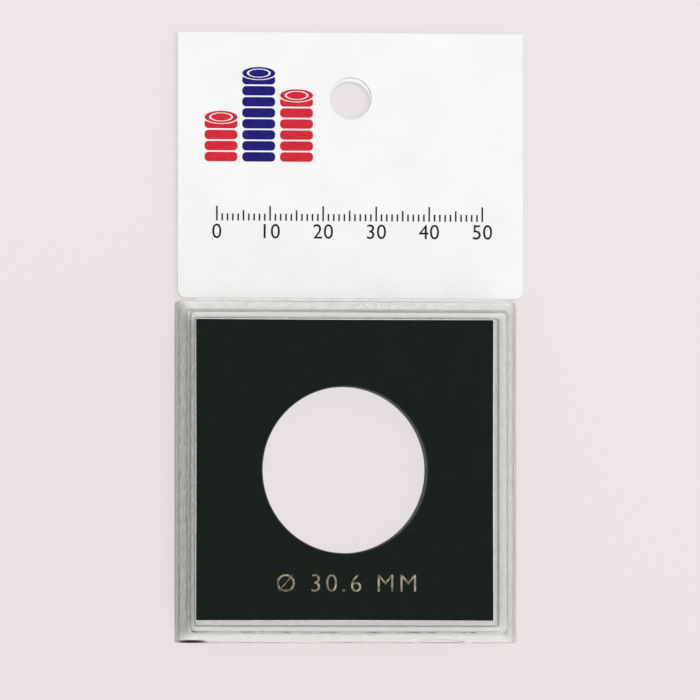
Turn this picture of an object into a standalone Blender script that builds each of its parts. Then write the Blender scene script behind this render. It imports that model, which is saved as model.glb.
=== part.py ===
"""A clear two-piece coin case with a black insert and a white hang header, lying on its back.

Metres, +Z up. The back of the case rests on z = 0 with the origin under its centre, the front
faces up, and the header points to +Y.
"""

import math

import bmesh
import bpy

# Case, both covers
CASE_SIDE = 0.0635  # 2 1/2 in square
CASE_CORNER = 0.0008  # radius of the upright corners
MOULDED_EDGE = 0.00018  # rounding left by the mould on every edge of the covers

# Back cover: a tray with a raised foot panel behind and a wall all round
FOOT_SIDE = 0.0540
FOOT_RISE = 0.0010
BACK_PANE_TOP = 0.0019
WALL_THICKNESS = 0.0015
WALL_TOP = 0.0052

# Thumbnail notch in the back cover's wall, on the edge away from the header
NOTCH_PLACE = 0.0177  # from the middle of that edge
NOTCH_LENGTH = 0.0110
NOTCH_DEPTH = 0.0007
NOTCH_HEIGHT = 0.0014

# Front cover: a flange on the wall, a window raised above it, a skirt inside the wall
SEAM = 0.0001
FLANGE_THICKNESS = 0.0012
WINDOW_INSET = 0.0021
WINDOW_RISE = 0.0007
WINDOW_CORNER = 0.0010
SKIRT_GAP = 0.00025
SKIRT_THICKNESS = 0.0014
SKIRT_CLEARANCE = 0.0003  # under the skirt

# Grip ribs on the outside of the skirt
RIB_PLACE = 0.0169  # from the middle of the two sides that have a pair
RIB_RADIUS = 0.0005
RIB_PROUD = 0.00015

# Insert with the coin hole
INSERT_SIDE = 0.0562
INSERT_THICKNESS = 0.0032  # 1/8 in sheet
INSERT_SHIFT_X = -0.00045  # it lies towards one corner of its play
INSERT_SHIFT_Y = 0.0004
INSERT_GAP = 0.0001
INSERT_EDGE = 0.0001
COIN_DIAMETER = 0.0306
COIN_CLEARANCE = 0.0003

# Header: two plies of film, joined to the back of the case by a clear tail and a strip of adhesive
HEADER_WIDTH = 0.0650
HEADER_HEIGHT = 0.0494
HEADER_GAP = 0.0007  # between the case and the lower edge of the plies
HEADER_SHIFT = 0.0014  # it hangs a little to the right of the case's middle
HEADER_CORNER = 0.0015  # radius of the lower corners
HANG_HOLE_DIAMETER = 0.0079
HANG_HOLE_HEIGHT = 0.0372  # above the lower edge of the plies
FILM = 0.0002
BOND_LINE = 0.00006  # left free between films, and above and below the adhesive
HEADER_CLEARANCE = 0.0002  # under the back ply
TAIL_WIDTH = 0.0580
TAIL_SEALED = 0.0044  # held between the plies
TAIL_BEHIND = 0.0039  # behind the case
ADHESIVE_WIDTH = 0.0560
ADHESIVE_HEIGHT = 0.0032
ADHESIVE_INSET = 0.0004  # from the edge of the case

# Facets and the overlap that shapes joined by a Boolean get
CORNER_STEPS = 4
COIN_HOLE_STEPS = 96
HANG_HOLE_STEPS = 48
NOTCH_STEPS = 128
RIB_STEPS = 16
OVERLAP = 0.0005

# Levels and edges that follow from these
HALF_CASE = CASE_SIDE / 2
FRONT_PANE_LOW = WALL_TOP + SEAM
FLANGE_TOP = FRONT_PANE_LOW + FLANGE_THICKNESS
WINDOW_TOP = FLANGE_TOP + WINDOW_RISE
HALF_SKIRT = HALF_CASE - WALL_THICKNESS - SKIRT_GAP
SKIRT_LOW = BACK_PANE_TOP + SKIRT_CLEARANCE
INSERT_LOW = BACK_PANE_TOP + INSERT_GAP
COIN_HOLE_RADIUS = (COIN_DIAMETER + COIN_CLEARANCE) / 2
BACK_PLY_LOW = HEADER_CLEARANCE
TAIL_LOW = BACK_PLY_LOW + FILM + BOND_LINE
FRONT_PLY_LOW = TAIL_LOW + FILM + BOND_LINE
HEADER_LOWER_EDGE = HALF_CASE + HEADER_GAP
FOLD_Y = HALF_CASE + HEADER_GAP / 2
FOLD_Z = FRONT_PLY_LOW + FILM


def clear_scene():
    for obj in list(bpy.data.objects):
        bpy.data.objects.remove(obj, do_unlink=True)


def collection(name):
    made = bpy.data.collections.new(name)
    bpy.context.scene.collection.children.link(made)
    return made


def plastic(name, colour, roughness, transmission=0.0):
    made = bpy.data.materials.new(name)
    made.use_nodes = True
    shader = made.node_tree.nodes["Principled BSDF"]
    shader.inputs["Base Color"].default_value = (*colour, 1.0)
    shader.inputs["Roughness"].default_value = roughness
    shader.inputs["Metallic"].default_value = 0.0
    shader.inputs["Transmission Weight"].default_value = transmission
    return made


def empty(name, place, group):
    made = bpy.data.objects.new(name, None)
    made.location = place
    group.objects.link(made)
    return made


def add_object(name, data, place, group):
    made = bpy.data.objects.new(name, data)
    made.location = place
    group.objects.link(made)
    return made


def block(name, width, depth, low, high, group, corner=0.0, at=(0.0, 0.0)):
    """A box from low to high, centred on a point in plan, with its upright edges rounded."""
    shape = bmesh.new()
    bmesh.ops.create_cube(shape, size=1.0)
    upright = [e for e in shape.edges if e.verts[0].co.z * e.verts[1].co.z < 0]
    bmesh.ops.scale(shape, vec=(width, depth, high - low), verts=shape.verts)
    if corner:
        bmesh.ops.bevel(
            shape,
            geom=upright,
            offset=corner,
            offset_type="OFFSET",
            segments=CORNER_STEPS,
            profile=0.5,
            affect="EDGES",
        )
    mesh = bpy.data.meshes.new(name)
    shape.to_mesh(mesh)
    shape.free()
    return add_object(name, mesh, (*at, (low + high) / 2), group)


def post(name, radius, steps, at, low, high, group):
    """An upright round bar from low to high, centred on a point in plan."""
    shape = bmesh.new()
    bmesh.ops.create_cone(
        shape,
        cap_ends=True,
        segments=steps,
        radius1=radius,
        radius2=radius,
        depth=high - low,
    )
    mesh = bpy.data.meshes.new(name)
    shape.to_mesh(mesh)
    shape.free()
    return add_object(name, mesh, (*at, (low + high) / 2), group)


def film(name, outline, hole, low, axis, group):
    """A flat film, with a round hole where it has one, placed from the fold axis that carries it."""
    flat = bpy.data.curves.new(name, "CURVE")
    flat.dimensions = "2D"
    flat.fill_mode = "BOTH"
    flat.extrude = FILM / 2
    for loop in filter(None, (outline, hole)):
        spline = flat.splines.new("POLY")
        spline.points.add(len(loop) - 1)
        for point, (x, y) in zip(spline.points, loop):
            point.co = (x, y - axis.location.y, 0.0, 1.0)
        spline.use_cyclic_u = True
    made = add_object(name, flat, (0.0, 0.0, low + FILM / 2 - axis.location.z), group)
    made.parent = axis
    return made


def combine(target, other, operation):
    """Joins a shape to the target or cuts it out, and keeps it as a hidden helper."""
    modifier = target.modifiers.new(f"{operation.lower()} {other.name}", "BOOLEAN")
    modifier.operation = operation
    modifier.solver = "EXACT"
    modifier.object = other
    other.hide_render = True
    other.display_type = "WIRE"


def round_edges(target, width):
    modifier = target.modifiers.new("rounded edges", "BEVEL")
    modifier.width = width
    modifier.segments = 2
    modifier.limit_method = "ANGLE"
    modifier.angle_limit = math.radians(40)
    modifier.harden_normals = False


def shade(target, material):
    target.data.materials.append(material)
    if target.type == "MESH":
        target.data.shade_smooth()
        target.data.set_sharp_from_angle(angle=math.radians(30))


def back_cover(parts, cutters):
    cover = block("back_cover", CASE_SIDE, CASE_SIDE, FOOT_RISE, WALL_TOP, parts, CASE_CORNER)
    foot = block(
        "back_foot", FOOT_SIDE, FOOT_SIDE, 0.0, FOOT_RISE + OVERLAP, cutters, CASE_CORNER
    )
    combine(cover, foot, "UNION")
    inside = CASE_SIDE - 2 * WALL_THICKNESS
    well = block("back_well", inside, inside, BACK_PANE_TOP, WALL_TOP + OVERLAP, cutters)
    combine(cover, well, "DIFFERENCE")
    notch_radius = NOTCH_LENGTH**2 / (8 * NOTCH_DEPTH) + NOTCH_DEPTH / 2
    notch = post(
        "thumb_notch",
        notch_radius,
        NOTCH_STEPS,
        (NOTCH_PLACE, -HALF_CASE + NOTCH_DEPTH - notch_radius),
        WALL_TOP - NOTCH_HEIGHT,
        WALL_TOP + OVERLAP,
        cutters,
    )
    combine(cover, notch, "DIFFERENCE")
    round_edges(cover, MOULDED_EDGE)
    return cover


def rib_places():
    """Where the skirt's grip ribs stand: a pair on the +Y and -Y sides, one on each other side."""
    reach = HALF_SKIRT + RIB_PROUD - RIB_RADIUS
    pairs = [(x, y) for y in (-reach, reach) for x in (-RIB_PLACE, RIB_PLACE)]
    return pairs + [(-reach, 0.0), (reach, 0.0)]


def front_cover(parts, cutters):
    cover = block(
        "front_cover", CASE_SIDE, CASE_SIDE, FRONT_PANE_LOW, FLANGE_TOP, parts, CASE_CORNER
    )
    window_side = CASE_SIDE - 2 * WINDOW_INSET
    window = block(
        "front_window",
        window_side,
        window_side,
        FLANGE_TOP - OVERLAP,
        WINDOW_TOP,
        cutters,
        WINDOW_CORNER,
    )
    combine(cover, window, "UNION")
    skirt_side = 2 * HALF_SKIRT
    skirt = block(
        "front_skirt", skirt_side, skirt_side, SKIRT_LOW, FRONT_PANE_LOW + OVERLAP, cutters
    )
    combine(cover, skirt, "UNION")
    inside = skirt_side - 2 * SKIRT_THICKNESS
    well = block("front_well", inside, inside, SKIRT_LOW - OVERLAP, FRONT_PANE_LOW, cutters)
    combine(cover, well, "DIFFERENCE")
    round_edges(cover, MOULDED_EDGE)
    for number, place in enumerate(rib_places(), start=1):
        rib = post(
            f"grip_rib_{number}",
            RIB_RADIUS,
            RIB_STEPS,
            place,
            SKIRT_LOW + OVERLAP,
            FRONT_PANE_LOW + OVERLAP,
            cutters,
        )
        combine(cover, rib, "UNION")
    return cover


def coin_insert(parts, cutters):
    top = INSERT_LOW + INSERT_THICKNESS
    middle = (INSERT_SHIFT_X, INSERT_SHIFT_Y)
    insert = block(
        "coin_insert", INSERT_SIDE, INSERT_SIDE, INSERT_LOW, top, parts, at=middle
    )
    hole = post(
        "coin_hole",
        COIN_HOLE_RADIUS,
        COIN_HOLE_STEPS,
        middle,
        INSERT_LOW - OVERLAP,
        top + OVERLAP,
        cutters,
    )
    combine(insert, hole, "DIFFERENCE")
    round_edges(insert, INSERT_EDGE)
    return insert


def header_outline():
    """The plies' outline about their own middle: a rectangle whose lower corners are rounded."""
    half = HEADER_WIDTH / 2
    high = HEADER_LOWER_EDGE + HEADER_HEIGHT
    middle_x = half - HEADER_CORNER
    middle_y = HEADER_LOWER_EDGE + HEADER_CORNER
    right = []
    for step in range(CORNER_STEPS + 1):
        angle = math.pi / 2 * (step / CORNER_STEPS - 1)
        x = middle_x + HEADER_CORNER * math.cos(angle)
        y = middle_y + HEADER_CORNER * math.sin(angle)
        right.append((x, y))
    right.append((half, high))
    return right + [(-x, y) for x, y in reversed(right)]


def hang_hole():
    centre = HEADER_LOWER_EDGE + HANG_HOLE_HEIGHT
    radius = HANG_HOLE_DIAMETER / 2
    angles = [2 * math.pi * step / HANG_HOLE_STEPS for step in range(HANG_HOLE_STEPS)]
    return [(radius * math.cos(a), centre + radius * math.sin(a)) for a in angles]


def header_tail_outline():
    half = TAIL_WIDTH / 2
    low = HALF_CASE - TAIL_BEHIND
    high = HEADER_LOWER_EDGE + TAIL_SEALED
    return [(-half, low), (half, low), (half, high), (-half, high)]


def header(parts, white, clear, glue):
    fold = empty("header_fold_axis", (HEADER_SHIFT, FOLD_Y, FOLD_Z), parts)
    for name, low in (("header_front_ply", FRONT_PLY_LOW), ("header_back_ply", BACK_PLY_LOW)):
        shade(film(name, header_outline(), hang_hole(), low, fold, parts), white)
    shade(film("header_tail", header_tail_outline(), None, TAIL_LOW, fold, parts), clear)
    strip = block(
        "header_adhesive",
        ADHESIVE_WIDTH,
        ADHESIVE_HEIGHT,
        FRONT_PLY_LOW,
        FOOT_RISE - BOND_LINE,
        parts,
        at=(HEADER_SHIFT, HALF_CASE - ADHESIVE_INSET - ADHESIVE_HEIGHT / 2),
    )
    shade(strip, glue)


def build():
    clear_scene()
    parts = collection("acrylic_coin_holder")
    cutters = collection("coin_holder_cutters")
    clear = plastic("clear moulded acrylic", (0.80, 0.82, 0.79), 0.05, transmission=1.0)
    black = plastic("black acrylic sheet", (0.012, 0.017, 0.014), 0.35)
    white = plastic("white header film", (0.90, 0.90, 0.90), 0.40)
    film_clear = plastic("clear tail film", (0.85, 0.85, 0.85), 0.15, transmission=1.0)
    glue = plastic("clear adhesive", (0.75, 0.74, 0.68), 0.60, transmission=0.5)
    shade(back_cover(parts, cutters), clear)
    shade(front_cover(parts, cutters), clear)
    shade(coin_insert(parts, cutters), black)
    header(parts, white, film_clear, glue)


build()
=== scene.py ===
# %% [markdown]
# A clear coin case in cells. The case is two moulded covers of clear acrylic that push together
# over a black plate with a round hole for a coin. A white film header is stuck to its back, so
# that it can hang on a peg. Each step below makes one piece or one finish. Lengths are in metres,
# or in millimetres where a comment says so.

# %% Load the frame
import math

import bmesh
import bpy
from mathutils import Matrix, Vector, geometry


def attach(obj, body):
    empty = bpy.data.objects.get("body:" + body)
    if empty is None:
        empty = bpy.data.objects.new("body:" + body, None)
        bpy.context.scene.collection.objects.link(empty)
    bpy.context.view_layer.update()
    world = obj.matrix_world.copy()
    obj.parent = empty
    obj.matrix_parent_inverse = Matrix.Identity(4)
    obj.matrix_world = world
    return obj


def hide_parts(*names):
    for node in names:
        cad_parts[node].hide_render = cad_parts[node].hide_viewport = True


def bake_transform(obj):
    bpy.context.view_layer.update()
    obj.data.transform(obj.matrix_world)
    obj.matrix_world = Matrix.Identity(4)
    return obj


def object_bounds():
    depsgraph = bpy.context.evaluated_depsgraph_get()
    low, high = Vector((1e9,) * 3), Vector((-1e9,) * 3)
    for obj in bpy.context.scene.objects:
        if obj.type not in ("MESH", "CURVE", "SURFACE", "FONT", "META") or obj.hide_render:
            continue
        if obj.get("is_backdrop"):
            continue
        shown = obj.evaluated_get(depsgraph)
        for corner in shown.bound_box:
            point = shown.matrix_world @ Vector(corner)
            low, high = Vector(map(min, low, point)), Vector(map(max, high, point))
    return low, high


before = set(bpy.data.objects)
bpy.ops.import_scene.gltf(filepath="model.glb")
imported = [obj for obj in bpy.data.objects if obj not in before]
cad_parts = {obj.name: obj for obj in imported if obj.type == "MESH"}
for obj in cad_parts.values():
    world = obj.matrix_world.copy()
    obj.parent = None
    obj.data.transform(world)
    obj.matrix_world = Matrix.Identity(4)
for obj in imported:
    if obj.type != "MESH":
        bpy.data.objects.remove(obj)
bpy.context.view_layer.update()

MM = 0.001
scene = bpy.context.scene
scene.view_settings.view_transform = "Standard"

# %% [markdown]
# Colours are written the way a picture editor gives them, as sRGB hex values. Shaders work on
# linear light, so one function converts them. A second function adds a node with its settings
# and its links, which keeps each material below to a few lines.


# %% Helpers for colours and nodes
def linear(code, alpha=1.0):
    """An sRGB hex colour as linear red, green, blue and alpha."""
    parts = [int(code[i : i + 2], 16) / 255 for i in (1, 3, 5)]
    curve = [v / 12.92 if v <= 0.04045 else ((v + 0.055) / 1.055) ** 2.4 for v in parts]
    return (*curve, alpha)


def add_node(tree, kind, inputs=None, **settings):
    """Adds a node, sets its properties, and gives each named input a value or a link."""
    node = tree.nodes.new(kind)
    for name, value in settings.items():
        setattr(node, name, value)
    for name, value in (inputs or {}).items():
        if isinstance(value, bpy.types.NodeSocket):
            tree.links.new(value, node.inputs[name])
        else:
            node.inputs[name].default_value = value
    return node


def new_material(name):
    """An empty material, its node tree and its output node."""
    material = bpy.data.materials.new(name)
    material.use_nodes = True
    tree = material.node_tree
    tree.nodes.clear()
    return material, tree, add_node(tree, "ShaderNodeOutputMaterial")


print("a mid grey is", [round(v, 3) for v in linear("#808080")])

# %% [markdown]
# The stage is a pale floor of matt paper. A floor that is only lit looks grey beside the bright
# ground of a shop picture, so a good share of it shows as plain backdrop, and the rest is lit and
# keeps the shadow of the case. Clear panes would add light by mirroring the sky, which is held back
# in the next step, so the floor is a little brighter where it is seen through them.

# %% Floor
FLOOR_COLOUR = "#EBE6E6"
FLOOR_SIZE = 6.0
FLOOR_DROP = 0.02 * MM  # below the case, so that no two faces share a plane
FLOOR_GLOW = 0.65  # share of the floor that shows as plain backdrop, without shadows
PANE_GLOW = 0.25  # how much larger that share is when it is seen through a pane
PANE_LIFT = 0.16  # and how much brighter

floor_mesh = bpy.data.meshes.new("studio_floor")
shape = bmesh.new()
bmesh.ops.create_grid(shape, x_segments=1, y_segments=1, size=FLOOR_SIZE / 2)
shape.to_mesh(floor_mesh)
shape.free()
floor = bpy.data.objects.new("studio_floor", floor_mesh)
floor.location.z = -FLOOR_DROP
scene.collection.objects.link(floor)

# Matt paper has no shine, so the eye sees only its colour and a soft shadow.
paper, tree, out = new_material("matt paper")
shader = add_node(
    tree,
    "ShaderNodeBsdfPrincipled",
    {"Base Color": linear(FLOOR_COLOUR), "Roughness": 1.0, "Specular IOR Level": 0.0},
)
path = add_node(tree, "ShaderNodeLightPath")
lift = add_node(
    tree,
    "ShaderNodeMath",
    {0: path.outputs["Is Transmission Ray"], 1: PANE_LIFT, 2: 1.0},
    operation="MULTIPLY_ADD",
)
glow = add_node(
    tree, "ShaderNodeEmission", {"Color": linear(FLOOR_COLOUR), "Strength": lift.outputs[0]}
)
seen = path.outputs["Is Camera Ray"]
for ray in ("Is Glossy Ray", "Is Transmission Ray"):
    either = add_node(tree, "ShaderNodeMath", {0: seen, 1: path.outputs[ray]}, operation="MAXIMUM")
    seen = either.outputs[0]
share = add_node(tree, "ShaderNodeMath", {0: seen, 1: FLOOR_GLOW}, operation="MULTIPLY")
share = add_node(
    tree,
    "ShaderNodeMath",
    {0: path.outputs["Is Transmission Ray"], 1: PANE_GLOW, 2: share.outputs[0]},
    operation="MULTIPLY_ADD",
)
mix = add_node(
    tree,
    "ShaderNodeMixShader",
    {0: share.outputs[0], 1: shader.outputs["BSDF"], 2: glow.outputs["Emission"]},
)
tree.links.new(mix.outputs["Shader"], out.inputs["Surface"])
floor_mesh.materials.append(paper)
floor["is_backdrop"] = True
print("floor, m across:", FLOOR_SIZE)

# %% [markdown]
# A window that lies flat mirrors whatever is straight over it, so a photographer hangs a black flag
# there. The sky does the same: it is soft all round, brighter at the right, and dark in a narrow
# cone overhead. It is also weaker in reflections, as behind a polarising filter, or the black plate
# would look grey from low down.

# %% Sky
SKY_LEVEL = 1.05
SKY_TILT = (0.45, 0.12)  # how much brighter the sky is towards +X and +Y
FLAG_EDGE, FLAG_INSIDE = 0.90, 0.96  # sine of the height at which the flag begins and is full
MIRRORED = 0.35  # share of the sky that is left in reflections

world = bpy.data.worlds.new("soft sky")
scene.world = world
world.use_nodes = True
tree = world.node_tree
tree.nodes.clear()
where = add_node(tree, "ShaderNodeTexCoord")
axes = add_node(tree, "ShaderNodeSeparateXYZ", {"Vector": where.outputs["Generated"]})
flag = add_node(
    tree,
    "ShaderNodeMapRange",
    {
        "Value": axes.outputs["Z"],
        "From Min": FLAG_EDGE,
        "From Max": FLAG_INSIDE,
        "To Min": SKY_LEVEL,
        "To Max": 0.0,
    },
    interpolation_type="SMOOTHSTEP",
)
level = 1.0
for axis, tilt in zip("XY", SKY_TILT):
    lean = add_node(
        tree,
        "ShaderNodeMath",
        {0: axes.outputs[axis], 1: tilt, 2: level},
        operation="MULTIPLY_ADD",
    )
    level = lean.outputs[0]
path = add_node(tree, "ShaderNodeLightPath")
mirror = add_node(
    tree, "ShaderNodeMath", {0: path.outputs["Glossy Depth"], 1: 1.0}, operation="MINIMUM"
)
filtered = add_node(
    tree,
    "ShaderNodeMath",
    {0: mirror.outputs[0], 1: MIRRORED - 1.0, 2: 1.0},
    operation="MULTIPLY_ADD",
)
strength = flag.outputs["Result"]
for factor in (level, filtered.outputs[0]):
    product = add_node(tree, "ShaderNodeMath", {0: strength, 1: factor}, operation="MULTIPLY")
    strength = product.outputs[0]
sky = add_node(tree, "ShaderNodeBackground", {"Strength": strength})
add_node(tree, "ShaderNodeOutputWorld", {"Surface": sky.outputs["Background"]})
print("sky level:", SKY_LEVEL, "and in reflections:", round(SKY_LEVEL * MIRRORED, 2))

# %% [markdown]
# Two long strip lamps, beyond the header and at the right, model the edges. They are kept out of
# reflections, and out of what is seen through clear plastic, because a pane would show each as a
# bright block.

# %% Lamps
STRIP_LENGTH, STRIP_WIDTH = 0.7, 0.12
LAMPS_AIM = Vector((0.0, 0.025, 0.0))
LAMPS = (  # name, place and watts
    ("top_strip", (0.05, 0.50, 0.75), 2.1),
    ("right_strip", (0.46, 0.03, 0.75), 0.75),
)

for name, place, watts in LAMPS:
    data = bpy.data.lights.new(name, "AREA")
    data.shape = "RECTANGLE"
    data.size, data.size_y = STRIP_LENGTH, STRIP_WIDTH
    data.energy = watts
    lamp = bpy.data.objects.new(name, data)
    lamp.location = place
    lamp.rotation_euler = (LAMPS_AIM - Vector(place)).to_track_quat("-Z", "Y").to_euler()
    lamp.visible_glossy = lamp.visible_transmission = False
    scene.collection.objects.link(lamp)

# %% [markdown]
# The camera looks down on the face from a little to the left and a little below it, as the wall
# inside the coin hole shows. A long lens from far away keeps the edges nearly parallel.

# %% Camera
YAW, PITCH = math.radians(9.0), math.radians(1.6)
CAMERA_DISTANCE, FAR_CLIP = 2.5, 20.0
FIELD_WIDTH = 0.1303  # across the picture, at the target
TARGET = Vector((0.00142, 0.02284, 0.0))
SENSOR_WIDTH = 36.0  # mm

camera_data = bpy.data.cameras.new("camera")
camera = bpy.data.objects.new("camera", camera_data)
scene.collection.objects.link(camera)
scene.camera = camera
back = Vector(
    (-math.sin(YAW) * math.cos(PITCH), -math.sin(PITCH), math.cos(YAW) * math.cos(PITCH))
)
right = Vector((0.0, 1.0, 0.0)).cross(back).normalized()
camera.location = TARGET + back * CAMERA_DISTANCE
camera.rotation_euler = Matrix((right, back.cross(right), back)).transposed().to_euler()
camera_data.sensor_width = SENSOR_WIDTH
camera_data.lens = SENSOR_WIDTH * CAMERA_DISTANCE / FIELD_WIDTH
camera_data.clip_end = FAR_CLIP
print("lens, mm:", round(camera_data.lens, 1))

# %% [markdown]
# Most pieces here are lofts: rings of points joined one to the next. A Boolean of blocks gives
# the same outside, but a loft keeps the fine rounding of each moulded edge under control, and it
# can carry a map that runs along the edge. Streaks in the plastic follow that map later.


# %% Helpers for rings and lofts
def rounded_ring(half_x, half_y, corner, height, sides=1, turns=6):
    """Points round a rectangle with rounded corners, anticlockwise, starting at its right."""
    arcs = []
    for quarter, (x, y) in enumerate(((1, 1), (-1, 1), (-1, -1), (1, -1))):
        middle = Vector((x * (half_x - corner), y * (half_y - corner), height))
        angles = [math.pi / 2 * (quarter + step / turns) for step in range(turns + 1)]
        arcs.append([middle + corner * Vector((math.cos(a), math.sin(a), 0)) for a in angles])
    points = []
    for arc, after in zip(arcs, arcs[1:] + arcs[:1]):
        points += arc
        points += [arc[-1].lerp(after[0], step / sides) for step in range(1, sides)]
    return points


def loft(name, rings, closed=False):
    """One closed body through rings of points, with a map in mm along and across them."""
    shape = bmesh.new()
    run = shape.loops.layers.uv.new("run")
    rows = [[shape.verts.new(point) for point in ring] for ring in rings]
    count = len(rows[0])
    along = [0.0]
    for here, after in zip(rings[0], rings[0][1:] + rings[0][:1]):
        along.append(along[-1] + (after - here).length / MM)
    across = 0.0
    for row, after in zip(rows, rows[1:] + (rows[:1] if closed else [])):
        step = (after[0].co - row[0].co).length / MM
        for i in range(count):
            k = (i + 1) % count
            face = shape.faces.new((row[i], row[k], after[k], after[i]))
            spots = ((along[i], 0), (along[i + 1], 0), (along[i + 1], step), (along[i], step))
            for loop, (u, v) in zip(face.loops, spots):
                loop[run].uv = (u, across + v)
        across += step
    if not closed:
        shape.faces.new(reversed(rows[0]))
        shape.faces.new(rows[-1])
    bmesh.ops.recalc_face_normals(shape, faces=shape.faces)
    mesh = bpy.data.meshes.new(name)
    shape.to_mesh(mesh)
    shape.free()
    return mesh


def add_piece(name, mesh, body, slot, *nodes):
    """Links a finished mesh, with the body it moves with and the solids it stands for."""
    piece = bpy.data.objects.new(name, mesh)
    scene.collection.objects.link(piece)
    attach(piece, body)
    if nodes:
        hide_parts(*nodes)
    print(f"{name}: {len(mesh.polygons)} faces, on {body}")
    return piece


print("a ring has", len(rounded_ring(1.0, 1.0, 0.1, 0.0)), "points")

# %% [markdown]
# Clear plastic bends light, acrylic with an index of 1.49. A path tracer finds few of the paths
# that lamps take through it, so lamp light and bounced light pass straight through here, and only
# what the eye follows is bent.

# %% Clear plastic
STRAIGHT_TINT = "#FEFEFE"  # what one surface leaves of the light that passes straight through


def clear_plastic(name, tint, roughness, clearness, index):
    """Clear plastic that lets lamp light through. Returns the material, its tree and shader."""
    material, tree, out = new_material(name)
    shader = add_node(
        tree,
        "ShaderNodeBsdfPrincipled",
        {
            "Base Color": linear(tint),
            "Roughness": roughness,
            "IOR": index,
            "Transmission Weight": clearness,
        },
    )
    path = add_node(tree, "ShaderNodeLightPath")
    straight = add_node(tree, "ShaderNodeBsdfTransparent", {"Color": linear(STRAIGHT_TINT)})
    result = shader.outputs["BSDF"]
    for ray in ("Is Diffuse Ray", "Is Shadow Ray"):
        mix = add_node(
            tree,
            "ShaderNodeMixShader",
            {0: path.outputs[ray], 1: result, 2: straight.outputs["BSDF"]},
        )
        result = mix.outputs["Shader"]
    tree.links.new(result, out.inputs["Surface"])
    return material, tree, shader


print("light that passes straight through keeps", round(linear(STRAIGHT_TINT)[0], 3))

# %% [markdown]
# The broad panes are polished and have no tint. Handling has left hairlines on them, which are a
# little rougher than the polish: noise that is drawn out a long way in one direction, of which only
# the peaks are kept.

# %% Polished panes
ACRYLIC_INDEX = 1.49
HAIRLINE_LENGTH, HAIRLINE_WIDTH = 9.0 * MM, 0.12 * MM  # wider than real ones, so that they show
HAIRLINE_SLANT = math.radians(28.0)
HAIRLINE_PEAKS = (0.66, 0.74)  # the part of the noise that shows
HAIRLINE_ROUGHNESS = 0.12

# Polished acrylic is as clear as glass: the eye sees what is under it, and a sharp shine.
pane_acrylic, tree, shader = clear_plastic(
    "acrylic pane", "#FFFFFF", roughness=0.0, clearness=1.0, index=ACRYLIC_INDEX
)
where = add_node(tree, "ShaderNodeTexCoord")
drawn = add_node(
    tree,
    "ShaderNodeMapping",
    {
        "Vector": where.outputs["Object"],
        "Rotation": (0.0, 0.0, HAIRLINE_SLANT),
        "Scale": (1 / HAIRLINE_LENGTH, 1 / HAIRLINE_WIDTH, 1 / HAIRLINE_LENGTH),
    },
)
hairlines = add_node(
    tree, "ShaderNodeTexNoise", {"Vector": drawn.outputs["Vector"], "Scale": 1.0, "Detail": 1.0}
)
peaks = add_node(
    tree,
    "ShaderNodeMapRange",
    {
        "Value": hairlines.outputs["Fac"],
        "From Min": HAIRLINE_PEAKS[0],
        "From Max": HAIRLINE_PEAKS[1],
        "To Max": HAIRLINE_ROUGHNESS,
    },
)
tree.links.new(peaks.outputs["Result"], shader.inputs["Roughness"])
print("clear plastic:", pane_acrylic.name)

# %% [markdown]
# The rims are hazy, and greyer than the panes, because there the eye looks along upright walls and
# through more plastic. The haze is drawn out along the moulding, which the map "run" follows, and
# it is blotchy as well, so two noises are mixed.

# %% Haze
STREAK_LENGTH, STREAK_WIDTH = 16.0, 0.5  # mm
STREAK_WANDER = 0.4
GRAIN = 0.62  # how strong the finest part of the haze is, next to the broad part
BLOTCHED = 0.4  # share of the blotches in the haze


def along_moulding(tree, length, width):
    """The map along the moulding, in units of a length and a width in mm."""
    run_map = add_node(tree, "ShaderNodeUVMap", uv_map="run")
    sized = add_node(
        tree,
        "ShaderNodeMapping",
        {"Vector": run_map.outputs["UV"], "Scale": (1 / length, 1 / width, 1.0)},
    )
    return sized.outputs["Vector"]


def haze(tree, place, blotch):
    """How hazy each point is: streaks along the moulding, and blotches of a size in mm."""
    streaks = add_node(
        tree,
        "ShaderNodeTexNoise",
        {
            "Vector": along_moulding(tree, STREAK_LENGTH, STREAK_WIDTH),
            "Scale": 1.0,
            "Detail": 4.0,
            "Roughness": GRAIN,
            "Distortion": STREAK_WANDER,
        },
    )
    blotches = add_node(
        tree,
        "ShaderNodeTexNoise",
        {"Vector": place, "Scale": 1 / (blotch * MM), "Detail": 4.0, "Roughness": GRAIN},
    )
    both = add_node(
        tree,
        "ShaderNodeMix",
        {0: BLOTCHED, 2: streaks.outputs["Fac"], 3: blotches.outputs["Fac"]},
    )
    return both.outputs[0]


print("streaks, mm:", (STREAK_LENGTH, STREAK_WIDTH))

# %% [markdown]
# The sides are painted greyer, the left one most of all: painted shade, which short flecks of
# noise break up. A point belongs to a side where it is further out to that side than it is up
# or down, which gives a soft mitre at each corner. A dark mark lies on the lower
# edge. Its outline is an ellipse, which the haze makes ragged.

# %% Painted side shade and a dark mark
FLECK_LENGTH, FLECK_WIDTH = 1.5, 0.5  # mm
FLECK_RANGE = (0.3, 0.7)  # the part of the noise that counts
FLECKED = 0.7  # how far the flecks move the painted shade of a side, up and down
MITRE = 2.0 * MM
SIDE_SHADE_TINTS = ((-1.0, "#D7D8D2"), (1.0, "#EEEFEC"))  # which way each side faces, and its tint of painted shade
DARK_MARK_MIDDLE, DARK_MARK_REACH = (-29.3, -31.5), (4.2, 0.42)  # mm
DARK_MARK_TINT = "#484945"
DARK_MARK_EDGE, DARK_MARK_HEART = 1.5, 0.8  # where the dark mark ends and where it is full, in its own size


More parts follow.
